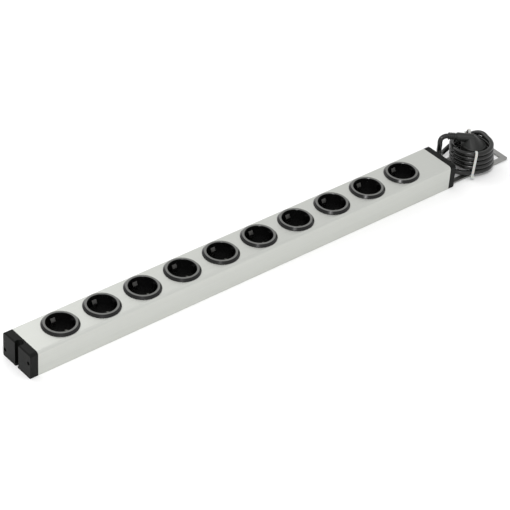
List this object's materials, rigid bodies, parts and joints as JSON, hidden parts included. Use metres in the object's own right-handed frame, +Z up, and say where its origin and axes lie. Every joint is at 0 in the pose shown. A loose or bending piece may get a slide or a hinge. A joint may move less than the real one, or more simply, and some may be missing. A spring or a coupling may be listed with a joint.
{
  "type": "power strip",
  "caption": "Long aluminium-profile power strip with a row of recessed round sockets, black end caps, a coiled mains lead with an angled plug, and a slide-out hanging bracket.",
  "frame": {"origin": "on the underside of the profile, under the middle of its length and width", "axes": "+X along the strip towards the mains lead, +Z up out of the sockets, +Y across the strip"},
  "size_m": [0.8615, 0.0758, 0.0547],
  "materials": {
    "aluminium": "satin anodised extrusion",
    "black_plastic": "fine matt moulding",
    "socket_plastic": "semi-gloss moulding",
    "grey_plastic": "plain moulding, hidden",
    "brass": "rolled strip",
    "steel": "nickel plated",
    "screw_steel": "black zinc plated",
    "clip_steel": "nickel plated spring strip",
    "bracket_steel": "zinc plated flat bar",
    "cord_rubber": "smooth black sheath",
    "plug_rubber": "moulded rubber",
    "live_insulation": "brown PVC",
    "neutral_insulation": "blue PVC",
    "earth_insulation": "green and yellow PVC",
    "tie_plastic": "white strap"
  },
  "bodies": {
    "strip": {"profile": "aluminium", "near_end_cap": "black_plastic", "far_end_cap": "black_plastic", "end_cap_screws": "screw_steel", "socket_insert_01": "socket_plastic", "socket_insert_02": "socket_plastic", "socket_insert_03": "socket_plastic", "socket_insert_04": "socket_plastic", "socket_insert_05": "socket_plastic", "socket_insert_06": "socket_plastic", "socket_insert_07": "socket_plastic", "socket_insert_08": "socket_plastic", "socket_insert_09": "socket_plastic", "socket_insert_10": "socket_plastic", "contact_carrier_near": "grey_plastic", "contact_carrier_far": "grey_plastic", "live_rail": "brass", "neutral_rail": "brass", "earth_rail": "clip_steel", "live_wire": "live_insulation", "neutral_wire": "neutral_insulation", "earth_wire": "earth_insulation", "cord_entry": "cord_rubber", "cord_clamp": "grey_plastic", "cord_clamp_screws": "screw_steel", "cord_gland": "plug_rubber", "cord_lead": "cord_rubber", "cord_coil": "cord_rubber", "cord_tail": "cord_rubber", "plug_relief": "plug_rubber", "plug_body": "plug_rubber", "plug_pins": "steel", "plug_earth_contacts": "clip_steel", "front_tie": "tie_plastic", "rear_tie": "tie_plastic"},
    "shutter_body_01": {"shutter_01": "grey_plastic"},
    "shutter_body_02": {"shutter_02": "grey_plastic"},
    "shutter_body_03": {"shutter_03": "grey_plastic"},
    "shutter_body_04": {"shutter_04": "grey_plastic"},
    "shutter_body_05": {"shutter_05": "grey_plastic"},
    "shutter_body_06": {"shutter_06": "grey_plastic"},
    "shutter_body_07": {"shutter_07": "grey_plastic"},
    "shutter_body_08": {"shutter_08": "grey_plastic"},
    "shutter_body_09": {"shutter_09": "grey_plastic"},
    "shutter_body_10": {"shutter_10": "grey_plastic"},
    "bracket": {"hanging_bracket": "bracket_steel", "bracket_stop_studs": "steel"}
  },
  "joints": [
    {"name": "shutter_turn_01", "type": "hinge", "parent": "strip", "child": "shutter_body_01", "pos_m": [-0.3055, 0, 0.02195], "axis": [0, 0, 1], "range_deg": [0, 30], "stiffness_Nm_per_rad": 0.002, "springref_deg": -17.19},
    {"name": "shutter_turn_02", "type": "hinge", "parent": "strip", "child": "shutter_body_02", "pos_m": [-0.2391, 0, 0.02195], "axis": [0, 0, 1], "range_deg": [0, 30], "stiffness_Nm_per_rad": 0.002, "springref_deg": -17.19},
    {"name": "shutter_turn_03", "type": "hinge", "parent": "strip", "child": "shutter_body_03", "pos_m": [-0.1727, 0, 0.02195], "axis": [0, 0, 1], "range_deg": [0, 30], "stiffness_Nm_per_rad": 0.002, "springref_deg": -17.19},
    {"name": "shutter_turn_04", "type": "hinge", "parent": "strip", "child": "shutter_body_04", "pos_m": [-0.1063, 0, 0.02195], "axis": [0, 0, 1], "range_deg": [0, 30], "stiffness_Nm_per_rad": 0.002, "springref_deg": -17.19},
    {"name": "shutter_turn_05", "type": "hinge", "parent": "strip", "child": "shutter_body_05", "pos_m": [-0.0399, 0, 0.02195], "axis": [0, 0, 1], "range_deg": [0, 30], "stiffness_Nm_per_rad": 0.002, "springref_deg": -17.19},
    {"name": "shutter_turn_06", "type": "hinge", "parent": "strip", "child": "shutter_body_06", "pos_m": [0.0265, 0, 0.02195], "axis": [0, 0, 1], "range_deg": [0, 30], "stiffness_Nm_per_rad": 0.002, "springref_deg": -17.19},
    {"name": "shutter_turn_07", "type": "hinge", "parent": "strip", "child": "shutter_body_07", "pos_m": [0.0929, 0, 0.02195], "axis": [0, 0, 1], "range_deg": [0, 30], "stiffness_Nm_per_rad": 0.002, "springref_deg": -17.19},
    {"name": "shutter_turn_08", "type": "hinge", "parent": "strip", "child": "shutter_body_08", "pos_m": [0.1593, 0, 0.02195], "axis": [0, 0, 1], "range_deg": [0, 30], "stiffness_Nm_per_rad": 0.002, "springref_deg": -17.19},
    {"name": "shutter_turn_09", "type": "hinge", "parent": "strip", "child": "shutter_body_09", "pos_m": [0.2257, 0, 0.02195], "axis": [0, 0, 1], "range_deg": [0, 30], "stiffness_Nm_per_rad": 0.002, "springref_deg": -17.19},
    {"name": "shutter_turn_10", "type": "hinge", "parent": "strip", "child": "shutter_body_10", "pos_m": [0.2921, 0, 0.02195], "axis": [0, 0, 1], "range_deg": [0, 30], "stiffness_Nm_per_rad": 0.002, "springref_deg": -17.19},
    {"name": "bracket_slide", "type": "slide", "parent": "strip", "child": "bracket", "axis": [1, 0, 0], "range_m": [-0.106, 0]}
  ]
}
